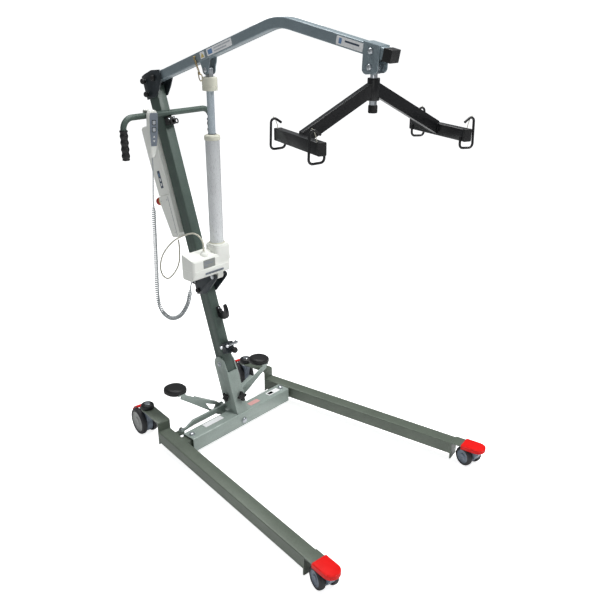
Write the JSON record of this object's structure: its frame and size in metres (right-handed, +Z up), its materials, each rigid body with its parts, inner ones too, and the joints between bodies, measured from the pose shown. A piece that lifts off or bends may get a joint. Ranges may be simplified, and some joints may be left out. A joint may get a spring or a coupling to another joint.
{
  "type": "patient lift hoist",
  "caption": "Mobile patient lift hoist: splayed leg base on twin-wheel casters, folding mast, bent boom raised by an electric actuator, swivelling spreader bar with sling hooks.",
  "frame": {"origin": "the centre of the cross beam's underside, on the midplane, 39.6 mm above the floor that the casters stand on", "axes": "+X to the hoist's right, -Y to the front where the legs open and the boom reaches, +Z up"},
  "size_m": [1.0961, 1.5817, 1.8708],
  "materials": {
    "alloy": "satin anodised",
    "base_paint": "light grey-green hammered enamel",
    "black_rubber": "matt moulded",
    "boom_paint": "light blue-grey hammered enamel",
    "bright_steel": "zinc plated",
    "cable_sheath": "smooth sheath",
    "caster_tyre": "smooth tread",
    "chrome": "polished",
    "cream_plastic": "fine moulded texture",
    "dark_steel": "dark satin coat",
    "frame_paint": "dark grey-green hammered enamel",
    "gloss_black": "gloss black powder coat",
    "grey_plastic": "fine moulded texture",
    "red_plastic": "smooth"
  },
  "bodies": {
    "base": {"base_beam": "base_paint", "mast_socket": "base_paint", "leg_pivot_bolt_left": "bright_steel", "leg_pivot_bolt_right": "bright_steel", "lever_pivot_bolt": "bright_steel", "mast_fold_bolt": "bright_steel"},
    "leg_left": {"leg_left": "frame_paint", "toe_bumper_left": "red_plastic", "caster_cap_left": "black_rubber"},
    "leg_right": {"leg_right": "frame_paint", "toe_bumper_right": "red_plastic", "caster_cap_right": "black_rubber"},
    "lever": {"foot_lever": "base_paint", "foot_pad_left": "black_rubber", "foot_pad_right": "black_rubber"},
    "link_left": {"link_rod_left": "base_paint"},
    "link_right": {"link_rod_right": "base_paint"},
    "mast": {"mast_tube": "frame_paint", "mast_head_bracket": "dark_steel", "boom_pivot_bolt": "dark_steel", "actuator_bracket": "dark_steel", "actuator_pin": "bright_steel", "latch_block": "dark_steel", "accessory_hook": "black_rubber", "catch_block": "black_rubber", "push_handle": "frame_paint", "hand_grip_left": "black_rubber", "hand_grip_right": "black_rubber", "control_box": "cream_plastic", "battery_pack": "cream_plastic", "handset": "cream_plastic", "handset_cable": "cable_sheath", "actuator_cable": "cable_sheath"},
    "knob_front": {"socket_knob_front": "black_rubber"},
    "knob_side": {"socket_knob_side": "black_rubber"},
    "latch_pin": {"latch_pin": "chrome"},
    "stop_button": {"emergency_stop": "red_plastic"},
    "button_up": {"handset_button_up": "dark_steel"},
    "button_down": {"handset_button_down": "dark_steel"},
    "boom": {"boom": "boom_paint", "boom_end_plug": "black_rubber", "saddle_bracket": "boom_paint", "saddle_bolt": "bright_steel"},
    "actuator": {"actuator_tube": "alloy", "motor_housing": "cream_plastic"},
    "piston": {"piston_rod": "bright_steel"},
    "hanger": {"hanger_bolt": "bright_steel"},
    "swivel": {"swivel_rod": "chrome", "swivel_nut": "black_rubber"},
    "spreader": {"spreader_bar": "gloss_black"},
    "swivel_front_left": {"caster_fork_front_left": "grey_plastic"},
    "wheel_front_left": {"caster_wheels_front_left": "caster_tyre"},
    "swivel_front_right": {"caster_fork_front_right": "grey_plastic"},
    "wheel_front_right": {"caster_wheels_front_right": "caster_tyre"},
    "swivel_rear_left": {"caster_fork_rear_left": "grey_plastic"},
    "wheel_rear_left": {"caster_wheels_rear_left": "caster_tyre"},
    "brake_left": {"brake_pedal_rear_left": "red_plastic"},
    "swivel_rear_right": {"caster_fork_rear_right": "grey_plastic"},
    "wheel_rear_right": {"caster_wheels_rear_right": "caster_tyre"},
    "brake_right": {"brake_pedal_rear_right": "red_plastic"}
  },
  "joints": [
    {"name": "leg_spread", "type": "hinge", "parent": "base", "child": "leg_right", "pos_m": [0.2879, 0, 0.0354], "axis": [0, 0, 1], "range_deg": [-8, 1.8]},
    {"name": "leg_spread_left", "type": "hinge", "parent": "base", "child": "leg_left", "pos_m": [-0.2879, 0, 0.0354], "axis": [0, 0, 1], "range_deg": [-1.9, 8.1]},
    {"name": "lever_tilt", "type": "hinge", "parent": "base", "child": "lever", "pos_m": [0, 0.1005, 0.0294], "axis": [0, 1, 0], "range_deg": [-14.1, 3.3]},
    {"name": "link_left_turn", "type": "hinge", "parent": "leg_left", "child": "link_left", "pos_m": [-0.292, 0.0745, 0.0604], "axis": [0, 0, 1], "range_deg": [-8.1, 1.9]},
    {"name": "link_right_turn", "type": "hinge", "parent": "leg_right", "child": "link_right", "pos_m": [0.292, 0.0745, 0.0204], "axis": [0, 0, 1], "range_deg": [-1.9, 8.1]},
    {"name": "swivel_front_left", "type": "hinge", "parent": "leg_left", "child": "swivel_front_left", "pos_m": [-0.49952, -1.00423, 0.0604], "axis": [0, 0, 1], "continuous": true},
    {"name": "roll_front_left", "type": "hinge", "parent": "swivel_front_left", "child": "wheel_front_left", "pos_m": [-0.48318, -0.9591, 0.0044], "axis": [0.9403, -0.3404, 0], "continuous": true},
    {"name": "swivel_front_right", "type": "hinge", "parent": "leg_right", "child": "swivel_front_right", "pos_m": [0.49952, -1.00423, 0.0604], "axis": [0, 0, 1], "continuous": true},
    {"name": "roll_front_right", "type": "hinge", "parent": "swivel_front_right", "child": "wheel_front_right", "pos_m": [0.51186, -0.95784, 0.0044], "axis": [0.9664, -0.2571, 0], "continuous": true},
    {"name": "swivel_rear_left", "type": "hinge", "parent": "leg_left", "child": "swivel_rear_left", "pos_m": [-0.31894, 0.28721, 0.0604], "axis": [0, 0, 1], "continuous": true},
    {"name": "roll_rear_left", "type": "hinge", "parent": "swivel_rear_left", "child": "wheel_rear_left", "pos_m": [-0.3119, 0.33165, 0.0249], "axis": [0.9877, -0.1564, 0], "continuous": true},
    {"name": "brake_left", "type": "hinge", "parent": "swivel_rear_left", "child": "brake_left", "pos_m": [-0.31081, 0.33857, 0.0944], "axis": [-0.9877, 0.1564, 0], "range_deg": [0, 3]},
    {"name": "swivel_rear_right", "type": "hinge", "parent": "leg_right", "child": "swivel_rear_right", "pos_m": [0.31894, 0.28721, 0.0604], "axis": [0, 0, 1], "continuous": true},
    {"name": "roll_rear_right", "type": "hinge", "parent": "swivel_rear_right", "child": "wheel_rear_right", "pos_m": [0.3283, 0.33122, 0.0249], "axis": [0.9781, -0.2079, 0], "continuous": true},
    {"name": "brake_right", "type": "hinge", "parent": "swivel_rear_right", "child": "brake_right", "pos_m": [0.32975, 0.33807, 0.0944], "axis": [-0.9781, 0.2079, 0], "range_deg": [0, 3]},
    {"name": "mast_fold", "type": "hinge", "parent": "base", "child": "mast", "pos_m": [0, 0.0856, 0.29874], "axis": [1, 0, 0], "range_deg": [0, 60]},
    {"name": "front_knob_turn", "type": "hinge", "parent": "base", "child": "knob_front", "pos_m": [0.008, -0.01338, 0.14829], "axis": [0, 0.9552, -0.296], "continuous": true},
    {"name": "side_knob_turn", "type": "hinge", "parent": "base", "child": "knob_side", "pos_m": [-0.041, 0.03793, 0.14495], "axis": [1, 0, 0], "continuous": true},
    {"name": "latch_pull", "type": "slide", "parent": "mast", "child": "latch_pin", "axis": [1, 0, 0], "range_m": [0, 0.012]},
    {"name": "stop_press", "type": "slide", "parent": "mast", "child": "stop_button", "axis": [0, -0.9552, 0.296], "range_m": [0, 0.004]},
    {"name": "up_press", "type": "slide", "parent": "mast", "child": "button_up", "axis": [0, 1, 0], "range_m": [0, 0.0015]},
    {"name": "down_press", "type": "slide", "parent": "mast", "child": "button_down", "axis": [0, 1, 0], "range_m": [0, 0.0015]},
    {"name": "boom_lift", "type": "hinge", "parent": "mast", "child": "boom", "pos_m": [0, 0.432, 1.5784], "axis": [-1, 0, 0], "range_deg": [-29, 8]},
    {"name": "actuator_tilt", "type": "hinge", "parent": "mast", "child": "actuator", "pos_m": [0, 0.1, 0.7384], "axis": [-1, 0, 0], "range_deg": [-0.2, 0.5]},
    {"name": "piston_travel", "type": "slide", "parent": "actuator", "child": "piston", "axis": [0, -0.0056, 1], "range_m": [-0.172, 0.048]},
    {"name": "hanger_plumb", "type": "hinge", "parent": "boom", "child": "hanger", "pos_m": [0, -0.738, 1.6804], "axis": [-1, 0, 0], "range_deg": [-8.1, 29.1]},
    {"name": "spreader_swing", "type": "hinge", "parent": "hanger", "child": "swivel", "pos_m": [0, -0.738, 1.6804], "axis": [1, 0, 0], "range_deg": [-30, 30]},
    {"name": "spreader_turn", "type": "hinge", "parent": "swivel", "child": "spreader", "pos_m": [0, -0.738, 1.6004], "axis": [0, 0, 1], "continuous": true}
  ],
  "couplings": [
    {"joint": "leg_spread_left", "follows": "leg_spread", "ratio": -1},
    {"joint": "lever_tilt", "follows": "leg_spread", "ratio": 1.75},
    {"joint": "link_left_turn", "follows": "leg_spread", "ratio": 1},
    {"joint": "link_right_turn", "follows": "leg_spread", "ratio": -1},
    {"joint": "actuator_tilt", "follows": "boom_lift", "ratio": -0.015},
    {"joint": "piston_travel", "follows": "boom_lift", "m_per_rad": 0.3375},
    {"joint": "hanger_plumb", "follows": "boom_lift", "ratio": -1}
  ]
}
